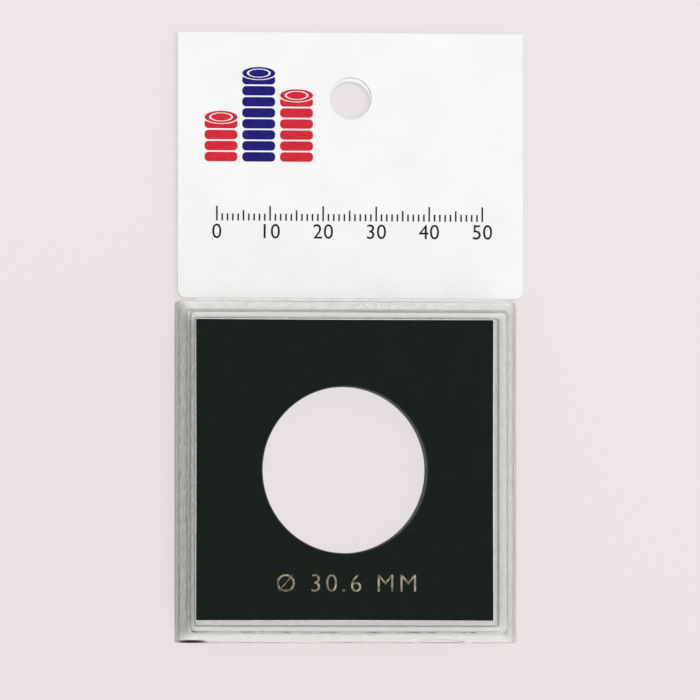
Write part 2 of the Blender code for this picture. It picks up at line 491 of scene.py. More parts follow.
def handled_sides(tree, place, colour):
    """A colour with painted shade at both sides of the case, more in some flecks than in others."""
    flecks = add_node(
        tree,
        "ShaderNodeTexNoise",
        {
            "Vector": along_moulding(tree, FLECK_LENGTH, FLECK_WIDTH),
            "Scale": 1.0,
            "Detail": 5.0,
            "Roughness": GRAIN,
        },
    )
    fleck_strength = add_node(
        tree,
        "ShaderNodeMapRange",
        {
            "Value": flecks.outputs["Fac"],
            "From Min": FLECK_RANGE[0],
            "From Max": FLECK_RANGE[1],
            "To Min": 1.0 + FLECKED,
            "To Max": 1.0 - FLECKED,
        },
    )
    axes = add_node(tree, "ShaderNodeSeparateXYZ", {"Vector": place})
    up = add_node(tree, "ShaderNodeMath", {0: axes.outputs["Y"]}, operation="ABSOLUTE")
    for direction, tint in SIDE_SHADE_TINTS:
        reach = add_node(
            tree,
            "ShaderNodeMath",
            {0: axes.outputs["X"], 1: -direction, 2: up.outputs[0]},
            operation="MULTIPLY_ADD",
        )
        side = add_node(
            tree,
            "ShaderNodeMapRange",
            {"Value": reach.outputs[0], "From Min": MITRE, "From Max": -MITRE},
            interpolation_type="SMOOTHSTEP",
        )
        strength = add_node(
            tree,
            "ShaderNodeMath",
            {0: side.outputs["Result"], 1: fleck_strength.outputs["Result"]},
            operation="MULTIPLY",
        )
        tinted = add_node(
            tree,
            "ShaderNodeMix",
            {0: strength.outputs[0], 6: colour, 7: linear(tint)},
            data_type="RGBA",
            blend_type="MULTIPLY",
            clamp_factor=False,
        )
        colour = tinted.outputs[2]
    return colour


def scuffed(tree, place, haziness, colour):
    """A colour with a dark mark, whose outline the haze makes ragged."""
    (x, y), (long, wide) = DARK_MARK_MIDDLE, DARK_MARK_REACH
    spot = add_node(
        tree,
        "ShaderNodeMapping",
        {
            "Vector": place,
            "Location": (-x / long, -y / wide, 0.0),
            "Scale": (1 / (long * MM), 1 / (wide * MM), 0.0),
        },
    )
    off = add_node(tree, "ShaderNodeVectorMath", {0: spot.outputs["Vector"]}, operation="LENGTH")
    ragged = add_node(tree, "ShaderNodeMath", {0: off.outputs["Value"], 1: haziness})
    mark = add_node(
        tree,
        "ShaderNodeMapRange",
        {"Value": ragged.outputs[0], "From Min": DARK_MARK_EDGE, "From Max": DARK_MARK_HEART},
        interpolation_type="SMOOTHSTEP",
    )
    marked = add_node(
        tree,
        "ShaderNodeMix",
        {0: mark.outputs["Result"], 6: colour, 7: linear(DARK_MARK_TINT)},
        data_type="RGBA",
        blend_type="MULTIPLY",
    )
    return marked.outputs[2]


print("handled sides:", len(SIDE_SHADE_TINTS), "and a scuff at, mm:", DARK_MARK_MIDDLE)

# %% [markdown]
# The same haze, in other strengths, makes every finish of the covers that isn't a polished pane.

# %% Hazy finishes of the covers
HAZE_BUMP, HAZE_RELIEF = 0.4, 0.03 * MM


def hazy_plastic(name, dark, light, roughness, clearness, blotch=1.4, ramp=(0.38, 0.58)):
    """Clear plastic with haze between two tints, painted shade at the sides, and the dark mark."""
    material, tree, shader = clear_plastic(name, light, roughness, clearness, ACRYLIC_INDEX)
    place = add_node(tree, "ShaderNodeTexCoord").outputs["Object"]
    haziness = haze(tree, place, blotch)
    bump = add_node(
        tree, "ShaderNodeBump", {"Height": haziness, "Strength": HAZE_BUMP, "Distance": HAZE_RELIEF}
    )
    tree.links.new(bump.outputs["Normal"], shader.inputs["Normal"])
    tints = add_node(tree, "ShaderNodeValToRGB", {"Fac": haziness})
    for stop, position, tint in zip(tints.color_ramp.elements, ramp, (dark, light)):
        stop.position = position
        stop.color = linear(tint)
    # Painted shade: the sides are tinted greyer, the left one most.
    colour = handled_sides(tree, place, tints.outputs["Color"])
    colour = scuffed(tree, place, haziness, colour)
    tree.links.new(colour, shader.inputs["Base Color"])
    return material


# Moulded rims are milky, with a soft shine.
rim_acrylic = hazy_plastic("acrylic rim", "#F1F2EF", "#FEFEFD", roughness=0.10, clearness=0.80)
# Upright walls are nearly clear, with the grey-green of acrylic that is seen edge on.
wall_acrylic = hazy_plastic("acrylic wall", "#D9DED9", "#ECF2EE", roughness=0.06, clearness=0.97)
# The mould leaves the skirt matt, so it looks pale and frosted.
matt_acrylic = hazy_plastic("matt acrylic", "#F7F8F6", "#FEFEFD", roughness=0.25, clearness=0.6)
# The seam between the covers holds shade and shows as a grey line.
seam_acrylic = hazy_plastic("acrylic seam", "#B4B6B1", "#E6E7E3", roughness=0.12, clearness=0.9)
# The lower step of the window is painted dark in broken patches: painted shade in that corner.
step_shade_acrylic = hazy_plastic(
    "acrylic step with painted shade",
    "#4A4C48",
    "#F4F5F2",
    roughness=0.30,
    clearness=0.7,
    blotch=2.2,
    ramp=(0.43, 0.50),
)
# The outer edges are dull and grey.
grey_edge_acrylic = hazy_plastic(
    "grey acrylic edge", "#8A8C86", "#F4F5F2", roughness=0.30, clearness=0.7, blotch=0.9
)
COVER_FINISHES = (
    pane_acrylic,
    rim_acrylic,
    wall_acrylic,
    matt_acrylic,
    seam_acrylic,
    step_shade_acrylic,
    grey_edge_acrylic,
)
print("finishes of the covers:", [material.name for material in COVER_FINISHES])

# %% [markdown]
# Each cover is one profile swept round a square. The profile is a list of bends: half of the
# square's side, the height, the radius of the square's corners there, and how much the mould
# rounds the bend. A bend that is rounded is a right angle.

# %% Profiles of the covers
HALF_CASE, CASE_CORNER = 63.5 / 2, 0.55  # mm
NOTCH_SIGHT = 31.0  # mm, the flange is divided here, so that it can be clear over the thumb notch
EDGE_STEPS = 5
SIDE_POINTS, CORNER_POINTS = 64, 8
BACK_PROFILE = [  # mm
    (26.4, 0.0, 0.8, 0.0),
    (27.0, 0.0, 0.8, 0.2),
    (27.0, 1.0, 0.8, 0.2),
    (HALF_CASE, 1.0, CASE_CORNER, 0.2),
    (HALF_CASE, 5.2, CASE_CORNER, 0.15),
    (30.25, 5.2, 0.4, 0.15),
    (30.25, 1.9, 0.4, 0.2),
    (27.3, 1.9, 0.4, 0.0),
]
FRONT_PROFILE = [  # mm
    (28.0, 5.3, 0.4, 0.0),
    (28.6, 5.3, 0.4, 0.2),
    (28.6, 2.2, 0.4, 0.15),
    (30.0, 2.2, 0.5, 0.15),
    (30.0, 5.3, 0.5, 0.15),
    (NOTCH_SIGHT, 5.3, CASE_CORNER, 0.0),
    (HALF_CASE, 5.3, CASE_CORNER, 0.15),
    (HALF_CASE, 6.5, CASE_CORNER, 0.25),
    (NOTCH_SIGHT, 6.5, 0.7, 0.0),
    (29.65, 6.5, 1.0, 0.25),
    (29.65, 7.2, 1.0, 0.35),
    (28.9, 7.2, 0.5, 0.0),
]


def round_bends(profile):
    """The profile with each rounded bend, a right angle, replaced by a small arc."""
    path = [profile[0][:3]]
    for before, here, after in zip(profile, profile[1:], profile[2:]):
        if not here[3]:
            path.append(here[:3])
            continue
        bend = Vector(here[:2])
        start = (Vector(before[:2]) - bend).normalized() * here[3]
        end = (Vector(after[:2]) - bend).normalized() * here[3]
        for step in range(EDGE_STEPS + 1):
            angle = math.pi / 2 * step / EDGE_STEPS
            spot = bend + start * (1 - math.sin(angle)) + end * (1 - math.cos(angle))
            path.append((spot.x, spot.y, here[2]))
    return path + [profile[-1][:3]]


def swept(profile):
    """The rings of a profile in mm, swept round a square."""
    return [
        rounded_ring(half * MM, half * MM, corner * MM, height * MM, SIDE_POINTS, CORNER_POINTS)
        for half, height, corner in profile
    ]


print("profile points:", len(round_bends(BACK_PROFILE)), len(round_bends(FRONT_PROFILE)))

# %% [markdown]
# One moulding has many finishes: polished over the window, matt on the skirt, grey on the outer
# edge. Paint masks could mix them in one material. Here each face gets its finish from where it is
# and which way it faces, which keeps the borders on the moulded edges.

# %% Finish of each face
PANE_HALF = 28.95 * MM
SKIRT_REACH, SKIRT_FOOT = 30.1 * MM, 2.0 * MM
SEAM_FROM, SEAM_TO = 29.5 * MM, 30.6 * MM
EDGE_FROM = 31.55 * MM
STEP_AT, STEP_WIDTH = 29.78 * MM, 0.2 * MM  # painted shade lies in this corner at the foot of the case
STEP_LOW, STEP_HIGH = 6.4 * MM, 6.75 * MM
WELL_FLOOR, WELL_FROM = 1.5 * MM, 27.4 * MM  # the back cover's floor outside the insert
UPRIGHT, LEVEL = 0.3, 0.95  # how far up a face points, at most on a wall and at least on a flat


def finish_of(face):
    """The finish of one face of a cover, from where it is and which way it faces."""
    reach = max(abs(face.center.x), abs(face.center.y))
    slope = abs(face.normal.z)
    in_step = STEP_LOW < face.center.z < STEP_HIGH and abs(reach - STEP_AT) < STEP_WIDTH
    if in_step and abs(face.center.y) > abs(face.center.x):
        # The lower side of the step gets painted shade, the upper side the grey seam.
        return step_shade_acrylic if face.center.y < 0 else seam_acrylic
    if slope < UPRIGHT:
        return seam_acrylic if SEAM_FROM < reach < SEAM_TO else wall_acrylic
    if WELL_FLOOR < face.center.z < SKIRT_FOOT and reach > WELL_FROM:
        return wall_acrylic
    if reach < PANE_HALF:
        return pane_acrylic
    if reach < SKIRT_REACH and face.center.z > SKIRT_FOOT:
        return matt_acrylic
    return grey_edge_acrylic if reach > EDGE_FROM and slope < LEVEL else rim_acrylic


def dress_cover(mesh):
    """Gives every face of a cover its finish."""
    for material in COVER_FINISHES:
        mesh.materials.append(material)
    for face in mesh.polygons:
        face.material_index = COVER_FINISHES.index(finish_of(face))


print("window, mm across:", round(2 * PANE_HALF / MM, 2))

# %% [markdown]
# The back cover is a tray with a wall all round and a raised foot panel behind. In its lower edge
# is a shallow notch for a thumbnail, which pries the cover off. The notch could be cut with a
# cylinder. Pushing the wall's outer points inwards gives it a softer edge, as in the moulding.

# %% Back cover
NOTCH_PLACE, NOTCH_LENGTH, NOTCH_DEPTH = 17.7 * MM, 11.0 * MM, 0.7 * MM
NOTCH_FOOT, NOTCH_FRINGE = 3.8, 0.1  # mm, where it begins, and how far its finish reaches past it
NOTCH_SLOPE = 0.5  # a face that points up or down by less than this is the notch's wall
WALL_HEIGHTS = [3.0, NOTCH_FOOT - 0.08, NOTCH_FOOT + 0.08, 4.4]  # mm, more rings, for the notch
OUTER_SKIN = 0.5  # mm, how deep the points lie that the notch moves
LOWER_SIDE = -30.0 * MM


def over_notch(face):
    """Whether a face of a cover is at the thumb notch."""
    beside = abs(face.center.x - NOTCH_PLACE) < NOTCH_LENGTH / 2
    return beside and face.center.y < -(NOTCH_SIGHT - NOTCH_FRINGE) * MM


back_path = round_bends(BACK_PROFILE)
lower_wall = [i for i, p in enumerate(back_path) if p[0] == HALF_CASE and p[1] < WALL_HEIGHTS[0]]
wall_start = max(lower_wall) + 1
back_path[wall_start:wall_start] = [(HALF_CASE, height, CASE_CORNER) for height in WALL_HEIGHTS]
back_rings = swept(back_path)
for ring, (half, height, _) in zip(back_rings, back_path):
    if half < HALF_CASE - OUTER_SKIN or height < NOTCH_FOOT:
        continue
    for point in ring:
        reach = (point.x - NOTCH_PLACE) / (NOTCH_LENGTH / 2)
        if point.y < LOWER_SIDE and abs(reach) < 1:
            point.y += NOTCH_DEPTH * (1 - reach**2)
back_mesh = loft("back_cover_moulding", back_rings)
dress_cover(back_mesh)
for face in back_mesh.polygons:
    if over_notch(face) and face.center.z > (NOTCH_FOOT - NOTCH_FRINGE) * MM:
        finish = seam_acrylic if abs(face.normal.z) < NOTCH_SLOPE else matt_acrylic
        face.material_index = COVER_FINISHES.index(finish)
add_piece("back_cover_moulding", back_mesh, "case", "clear_acrylic", "back_cover")

# %% [markdown]
# Some things repeat: the grip ribs of the front cover, the ticks of a ruler and the coins of a
# stack. Copies in a loop would do, but one Geometry Nodes tree can make them all. It sets a unit at
# each point of a row, and stretches every fifth and tenth one, as a ruler needs.


# %% A tree that repeats a unit along a row
def row_tree():
    """A tree that repeats the incoming mesh along a row, with every fifth and tenth one longer."""
    tree = bpy.data.node_groups.new("repeat along a row", "GeometryNodeTree")
    for name, kind in (
        ("Unit", "NodeSocketGeometry"),
        ("Count", "NodeSocketInt"),
        ("Pitch", "NodeSocketVector"),
        ("Fifth", "NodeSocketFloat"),
        ("Tenth", "NodeSocketFloat"),
        ("Material", "NodeSocketMaterial"),
    ):
        tree.interface.new_socket(name, in_out="INPUT", socket_type=kind)
    tree.interface.new_socket("Row", in_out="OUTPUT", socket_type="NodeSocketGeometry")
    given = add_node(tree, "NodeGroupInput").outputs
    line = add_node(
        tree, "GeometryNodeMeshLine", {"Count": given["Count"], "Offset": given["Pitch"]}
    )
    index = add_node(tree, "GeometryNodeInputIndex")
    length = 1.0
    for every, name in ((5, "Fifth"), (10, "Tenth")):
        # What is left after the division is 0 at a hit and at least 1 elsewhere.
        left = add_node(
            tree, "ShaderNodeMath", {0: index.outputs["Index"], 1: every}, operation="MODULO"
        )
        hit = add_node(
            tree, "ShaderNodeMath", {0: left.outputs[0], 1: 0.5}, operation="LESS_THAN"
        )
        pick = add_node(
            tree,
            "GeometryNodeSwitch",
            {"Switch": hit.outputs[0], "False": length, "True": given[name]},
            input_type="FLOAT",
        )
        length = pick.outputs["Output"]
    scale = add_node(tree, "ShaderNodeCombineXYZ", {"X": 1.0, "Y": length, "Z": 1.0})
    units = add_node(
        tree,
        "GeometryNodeInstanceOnPoints",
        {
            "Points": line.outputs["Mesh"],
            "Instance": given["Unit"],
            "Scale": scale.outputs["Vector"],
        },
    )
    real = add_node(
        tree, "GeometryNodeRealizeInstances", {"Geometry": units.outputs["Instances"]}
    )
    dressed = add_node(
        tree,
        "GeometryNodeSetMaterial",
        {"Geometry": real.outputs["Geometry"], "Material": given["Material"]},
    )
    add_node(tree, "NodeGroupOutput", {"Row": dressed.outputs["Geometry"]})
    return tree


ROW = row_tree()


def row_of(unit, count, pitch, material, fifth=1.0, tenth=1.0):
    """A mesh of units in a row, made by the tree."""
    carrier = bpy.data.objects.new("row_carrier", unit)
    scene.collection.objects.link(carrier)
    modifier = carrier.modifiers.new("row", "NODES")
    modifier.node_group = ROW
    values = {
        "Count": count,
        "Pitch": pitch,
        "Fifth": fifth,
        "Tenth": tenth,
        "Material": material,
    }
    for item in ROW.interface.items_tree:
        if item.in_out == "INPUT" and item.name in values:
            modifier[item.identifier] = values[item.name]
    carrier.update_tag()
    depsgraph = bpy.context.evaluated_depsgraph_get()
    made = bpy.data.meshes.new_from_object(carrier.evaluated_get(depsgraph))
    carrier.modifiers.clear()
    bpy.data.objects.remove(carrier)
    return made


print("inputs of the tree:", [item.name for item in ROW.interface.items_tree])

# %% [markdown]
# The front cover has a raised window, a flange that lies on the wall, and a skirt that goes down
# inside it. Six small round ribs on the skirt grip the wall. They are joined to it by a Boolean, so
# that the cover stays one closed body.

# %% Front cover and its grip ribs
RIB_RADIUS, RIB_PROUD, RIB_PLACE = 0.5 * MM, 0.15 * MM, 16.9 * MM
RIB_ROUND = 0.999  # share of the radius: a full round would leave sides of no length
RIB_LOW, RIB_HIGH = 2.7 * MM, 5.8 * MM
RIB_REACH = 30.0 * MM + RIB_PROUD - RIB_RADIUS
ROWS_OF_RIBS = [
    ((-RIB_PLACE, RIB_REACH), (2 * RIB_PLACE, 0.0, 0.0)),
    ((-RIB_PLACE, -RIB_REACH), (2 * RIB_PLACE, 0.0, 0.0)),
    ((-RIB_REACH, 0.0), (2 * RIB_REACH, 0.0, 0.0)),
]

front_mesh = loft("front_cover_moulding", swept(round_bends(FRONT_PROFILE)))
dress_cover(front_mesh)
for face in front_mesh.polygons:
    if over_notch(face) and abs(face.normal.z) > UPRIGHT:
        face.material_index = COVER_FINISHES.index(pane_acrylic)
carrier = bpy.data.objects.new("front_cover_carrier", front_mesh)
scene.collection.objects.link(carrier)
helpers = []
for number, (start, pitch) in enumerate(ROWS_OF_RIBS):
    post = [
        rounded_ring(RIB_RADIUS, RIB_RADIUS, RIB_RADIUS * RIB_ROUND, height)
        for height in (RIB_LOW, RIB_HIGH)
    ]
    unit = loft(f"rib_{number}", post)
    unit.transform(Matrix.Translation((*start, 0.0)))
    ribs = bpy.data.objects.new(f"ribs_{number}", row_of(unit, 2, pitch, rim_acrylic))
    scene.collection.objects.link(ribs)
    helpers.append(ribs)
    union = carrier.modifiers.new(f"union_{number}", "BOOLEAN")
    union.operation = "UNION"
    union.solver = "EXACT"
    union.material_mode = "TRANSFER"
    union.object = ribs
depsgraph = bpy.context.evaluated_depsgraph_get()
joined = bpy.data.meshes.new_from_object(carrier.evaluated_get(depsgraph))
joined.name = "front_cover_moulding"
for helper in [carrier, *helpers]:
    bpy.data.objects.remove(helper)
add_piece("front_cover_moulding", joined, "cover", "clear_acrylic", "front_cover")

# %% [markdown]
# A plate with a round hole is also a loft: it goes up the wall of the hole, out over the top, down
# the outside and back underneath. The points of each ring lie on rays from the hole's middle. The
# insert and both plies of the header are made this way.

# %% Helper for plates with a hole
RAYS = 200


def holed_plate(name, outline, middle, radius, low, high, edge, shares, lift=None):
    """A plate with a round hole, as one loft from the hole's wall outwards and back.

    The edge is how far its bevels reach across the face and down the side.
    """
    middle = Vector(middle)
    corners = [Vector(corner) for corner in outline]
    rim = {math.atan2(*(corner - middle).yx): corner for corner in corners}
    for step in range(RAYS):  # half a step round, so that no ray meets a corner of a square
        angle = 2 * math.pi * (step + 0.5) / RAYS - math.pi
        far = middle + Vector((math.cos(angle), math.sin(angle)))
        for a, b in zip(corners, corners[1:] + corners[:1]):
            hit = geometry.intersect_line_line_2d(middle, far, a, b)
            if hit is not None:
                rim[angle] = hit

    def ring(share, inset, height):
        points = []
        for angle in sorted(rim):
            ray = Vector((math.cos(angle), math.sin(angle)))
            bore = middle + ray * radius
            spot = bore.lerp(rim[angle], share) + ray * inset
            rise = lift(spot.x, spot.y) if lift else 0.0
            points.append(Vector((*spot, height + rise)))
        return points

    across, down = edge
    rings = [ring(0.0, 0.0, low + down), ring(0.0, 0.0, high - down), ring(0.0, across, high)]
    rings += [ring(share, 0.0, high) for share in shares]
    rings += [ring(1.0, -across, high), ring(1.0, 0.0, high - down), ring(1.0, 0.0, low + down)]
    rings += [ring(1.0, -across, low)]
    rings += [ring(share, 0.0, low) for share in reversed(shares)]
    rings += [ring(0.0, across, low)]
    return loft(name, rings, closed=True)


print("rays round a hole:", RAYS)

# %% [markdown]
# No finish here is quite even. The black sheet has a faint peel, the bore has rings left by the
# cutter, foil rubs dull, ink dries in patches and glue is full of ripples. One function gives them
# all noise of a real size, which moves the colour, the gloss and the relief together.

# %% Uneven finishes
TINT_STOPS, GLOSS_STOPS = (0.40, 0.60), (0.35, 0.65)  # the parts of the noise that count


def uneven(tree, shader, patch, tints, roughness, relief):
    """Varies a shader between two tints and two roughnesses. Patches and relief are in mm."""
    where = add_node(tree, "ShaderNodeTexCoord")
    sized = add_node(
        tree,
        "ShaderNodeMapping",
        {"Vector": where.outputs["Object"], "Scale": [1 / (side * MM) for side in patch]},
    )
    noise = add_node(
        tree, "ShaderNodeTexNoise", {"Vector": sized.outputs["Vector"], "Scale": 1.0, "Detail": 4.0}
    )
    tint = add_node(tree, "ShaderNodeValToRGB", {"Fac": noise.outputs["Fac"]})
    for stop, position, colour in zip(tint.color_ramp.elements, TINT_STOPS, tints):
        stop.position = position
        stop.color = linear(colour)
    gloss = add_node(
        tree,
        "ShaderNodeMapRange",
        {
            "Value": noise.outputs["Fac"],
            "From Min": GLOSS_STOPS[0],
            "From Max": GLOSS_STOPS[1],
            "To Min": roughness[0],
            "To Max": roughness[1],
        },
    )
    bump = add_node(
        tree, "ShaderNodeBump", {"Height": noise.outputs["Fac"], "Distance": relief * MM}
    )
    tree.links.new(tint.outputs["Color"], shader.inputs["Base Color"])
    tree.links.new(gloss.outputs["Result"], shader.inputs["Roughness"])
    tree.links.new(bump.outputs["Normal"], shader.inputs["Normal"])


def opaque_finish(name, patch, tints, roughness, relief, **sockets):
    """An uneven finish that hides what is under it, with plain values for other sockets."""
    material, tree, out = new_material(name)
    shader = add_node(tree, "ShaderNodeBsdfPrincipled")
    for socket, value in sockets.items():
        shader.inputs[socket.replace("_", " ")].default_value = value
    uneven(tree, shader, patch, tints, roughness, relief)
    tree.links.new(shader.outputs["BSDF"], out.inputs["Surface"])
    return material


# Black acrylic sheet is satin, with a faint peel, so it looks deep and even.
sheet_black = opaque_finish(
    "black acrylic sheet",
    patch=(0.35, 0.35, 0.35),
    tints=("#1B221E", "#1C231F"),
    roughness=(0.276, 0.284),
    relief=0.0003,
    Specular_IOR_Level=0.3,
)
# The bored wall is dull and greyer, with rings from the cutter 0.15 mm apart.
bored_black = opaque_finish(
    "bored acrylic wall",
    patch=(6.0, 6.0, 0.15),
    tints=("#383D39", "#454A46"),
    roughness=(0.5, 0.7),
    relief=0.01,
)
# The top arris is painted nearly white: a painted highlight along the edge of the insert, on a dull
# sawn finish.
arris_highlight = opaque_finish(
    "sawn arris with painted highlight",
    patch=(0.7, 0.7, 0.7),
    tints=("#E2E2DF", "#FBFBFA"),
    roughness=(0.6, 0.8),
    relief=0.01,
)
INSERT_FINISHES = (sheet_black, bored_black, arris_highlight)
print("insert finishes:", [material.name for material in INSERT_FINISHES])

# %% [markdown]
# The insert is a square of black acrylic sheet with a round hole bored in it for the coin. It has a
# little play in the case, and lies a little to the left and up in it.

# %% Insert plate
INSERT_EDGE = (0.2 * MM, 0.06 * MM)
INSERT_MIDDLE = Vector((-0.45 * MM, 0.4 * MM))
INSERT_HALF = 28.1 * MM
COIN_HOLE_RADIUS = 15.45 * MM
INSERT_LOW, INSERT_TOP = 2.0 * MM, 5.2 * MM
INSERT_SHARES = [0.5]  # one ring, half-way across each face
UPWARD = 0.1

square = [(INSERT_HALF, INSERT_HALF), (-INSERT_HALF, INSERT_HALF)]
square += [(-x, -y) for x, y in square]
square = [INSERT_MIDDLE + Vector(corner) for corner in square]
insert_mesh = holed_plate(
    "insert_plate",
    square,
    INSERT_MIDDLE,
    COIN_HOLE_RADIUS,
    INSERT_LOW,
    INSERT_TOP,
    INSERT_EDGE,
    INSERT_SHARES,
)
for material in INSERT_FINISHES:
    insert_mesh.materials.append(material)
for face in insert_mesh.polygons:
    off = face.center.xy - INSERT_MIDDLE
    finish = sheet_black
    if off.length < COIN_HOLE_RADIUS + INSERT_EDGE[0]:
        finish = bored_black
    elif max(abs(off.x), abs(off.y)) > INSERT_HALF - INSERT_EDGE[0] and face.normal.z > UPWARD:
        # Painted highlight: the top arris is near white.
        finish = arris_highlight
    face.material_index = INSERT_FINISHES.index(finish)
add_piece("insert_plate", insert_mesh, "insert", "black_insert", "coin_insert")

# %% [markdown]
# Below the hole is a mark in gold foil, pressed on with a hot die. Here it gives the size of coin
# that the hole is made for. Letters start as a text curve and become a mesh, which is then scaled
# to the height that is wanted, because fonts differ in how tall they draw their figures.


# %% Helper for text, and the foil mark
def text_mesh(name, body, height, thickness, spacing=1.0, weight=0.0):
    """A line of text as a thin mesh, centred, with figures of a given height and weight."""
    curve = bpy.data.curves.new(name, "FONT")
    curve.body = body
    curve.align_x = "CENTER"
    curve.space_character = spacing
    curve.extrude = 0.5  # to each side, so 1 in all
    curve.offset = weight
    carrier = bpy.data.objects.new(name, curve)
    scene.collection.objects.link(carrier)
    depsgraph = bpy.context.evaluated_depsgraph_get()
    mesh = bpy.data.meshes.new_from_object(carrier.evaluated_get(depsgraph))
    bpy.data.objects.remove(carrier)
    tops = [v.co.y for v in mesh.vertices]
    size = height / (max(tops) - min(tops))
    mesh.transform(Matrix.Translation((0.0, -min(tops), 0.5)))
    mesh.transform(Matrix.Diagonal((size, size, thickness, 1.0)))
    return mesh


FOIL_HEIGHT, FOIL_THICKNESS = 3.2 * MM, 0.02 * MM
FOIL_SPACING = 1.25
FOIL_THINNING = -0.012  # strokes thinner than the font draws them, in its own units
FOIL_WEAR = 0.9  # mm, the size of the patches where the foil has rubbed dull
FOIL_MIDDLE_X, FOIL_BASE = -0.1 * MM, -22.2 * MM

# Hot-stamped foil is a metal film under lacquer: a soft gold that is bright in places and dull
# where it has rubbed.
gold_foil = opaque_finish(
    "gold hot-stamp foil",
    patch=(FOIL_WEAR, FOIL_WEAR, FOIL_WEAR),
    tints=("#8E856C", "#EEE5C6"),
    roughness=(0.35, 0.5),
    relief=0.005,
    Metallic=0.5,
)
foil_mesh = text_mesh(
    "foil_mark", "Ø 30.6 MM", FOIL_HEIGHT, FOIL_THICKNESS, FOIL_SPACING, FOIL_THINNING
)
foil_mesh.transform(Matrix.Translation((FOIL_MIDDLE_X, FOIL_BASE, INSERT_TOP)))
foil_mesh.materials.append(gold_foil)
foil = add_piece("foil_mark", foil_mesh, "insert", "black_insert")
print("foil mark, mm:", [round(v / MM, 2) for v in foil.dimensions])

# %% [markdown]
# The header is film, which is never quite flat. A cloth simulation could give its waves, but they
# are small, and the two plies and the print have to share them, so one function gives them: broad
# and fine waves, a swell across the header, and a small dent. They end at the sealed foot.

# %% Waves of the film
WAVES_FROM, WAVES_FADE = 37.0, 6.0  # mm, where they begin, and over what height they grow
BROAD_WAVE, BROAD_LENGTHS, BROAD_SHIFT = 0.10, (6.5, 9.0), 0.8  # mm, mm, radians
FINE_WAVE, FINE_LENGTH, FINE_SLANT = 0.04, 4.1, 0.6  # mm, mm, and how much it leans
SWELL, SWELL_AT, SWELL_WIDTH = 0.16, 49.0, 3.4  # mm
DENT, DENT_WIDTH, DENT_SPAN = 0.09, 0.7, 9.0  # mm, the span is along X and Y together
DENT_ENDS = (Vector((9.8, 51.9)), Vector((15.0, 55.7)))  # mm


def film_rise(x, y):
    """How far the film stands off its flat place: soft waves that end at the sealed foot."""
    x, y = x / MM, y / MM
    fade = min(max((y - WAVES_FROM) / WAVES_FADE, 0.0), 1.0)
    waves = BROAD_WAVE * math.sin(x / BROAD_LENGTHS[0] + BROAD_SHIFT)
    waves *= math.sin(y / BROAD_LENGTHS[1])
    waves += FINE_WAVE * math.sin((x + FINE_SLANT * y) / FINE_LENGTH)
    waves += SWELL * math.exp(-(((y - SWELL_AT) / SWELL_WIDTH) ** 2))
    start, end = DENT_ENDS
    along = min(max(((x - start.x) + (y - start.y)) / DENT_SPAN, 0.0), 1.0)
    off = (Vector((x, y)) - start.lerp(end, along)).length
    waves += DENT * math.exp(-((off / DENT_WIDTH) ** 2))
    return waves * fade**2 * MM


print("rise at the swell, mm:", round(film_rise(0.0, SWELL_AT * MM) / MM, 3))

# %% [markdown]
# White film is a plastic that is pale all through, with a satin face. It has soft clouds that are
# barely bluer than the rest, and a very fine grain breaks up its shine. Over the sealed foot it is
# painted whiter, painted light that offsets the shade which the case casts there.

# %% White film
FILM_ROUGHNESS = 0.38
FILM_CLOUD, FILM_GRAIN = 9.0 * MM, 0.7 * MM  # the grain is coarser than real, so that it shows
FILM_RELIEF = 0.002 * MM
CLOUD_RANGE = (0.38, 0.62)  # the part of the noise that counts
CLOUD_TINTS, SEAL_LIGHT_TINT = ("#F6F7F8", "#FAFAFA"), "#FBFBFB"
SEAL_LOW, SEAL_HIGH = 37.4 * MM, 38.0 * MM  # the painted light over the seal fades out between these heights

# Satin film looks white and nearly even, with a broad soft shine that shows its waves.
white_film, tree, out = new_material("white film")
shader = add_node(tree, "ShaderNodeBsdfPrincipled", {"Roughness": FILM_ROUGHNESS})
where = add_node(tree, "ShaderNodeTexCoord")
axes = add_node(tree, "ShaderNodeSeparateXYZ", {"Vector": where.outputs["Object"]})
clouds = add_node(
    tree,
    "ShaderNodeTexNoise",
    {"Vector": where.outputs["Object"], "Scale": 1 / FILM_CLOUD, "Detail": 2.0},
)
cloudy = add_node(
    tree,
    "ShaderNodeMapRange",
    {"Value": clouds.outputs["Fac"], "From Min": CLOUD_RANGE[0], "From Max": CLOUD_RANGE[1]},
)
seal = add_node(
    tree,
    "ShaderNodeMapRange",
    {
        "Value": axes.outputs["Y"],
        "From Min": SEAL_LOW,
        "From Max": SEAL_HIGH,
        "To Min": 1.0,
        "To Max": 0.0,
    },
)
# Painted light: the film is whiter over the sealed foot, against the shade of the case.
sealed = add_node(
    tree,
    "ShaderNodeMath",
    {0: seal.outputs["Result"], 1: cloudy.outputs["Result"]},
    operation="MULTIPLY",
)
colour = linear(CLOUD_TINTS[0])
for amount, tint in ((cloudy.outputs["Result"], CLOUD_TINTS[1]), (sealed.outputs[0], SEAL_LIGHT_TINT)):
    white = add_node(
        tree, "ShaderNodeMix", {0: amount, 6: colour, 7: linear(tint)}, data_type="RGBA"
    )
    colour = white.outputs[2]
tree.links.new(colour, shader.inputs["Base Color"])
grain = add_node(
    tree,
    "ShaderNodeTexNoise",
    {"Vector": where.outputs["Object"], "Scale": 1 / FILM_GRAIN, "Detail": 2.0},
)
bump = add_node(tree, "ShaderNodeBump", {"Height": grain.outputs["Fac"], "Distance": FILM_RELIEF})
tree.links.new(bump.outputs["Normal"], shader.inputs["Normal"])
tree.links.new(shader.outputs["BSDF"], out.inputs["Surface"])
print("film:", white_film.name)

# %% [markdown]
# The header is two plies of that film, sealed along the foot, with rounded lower corners and a
# punched hang hole. The plies have slipped a little on each other, so the back one shows in the
# hole. Above the film that is sealed between them, the back ply climbs to the front one.

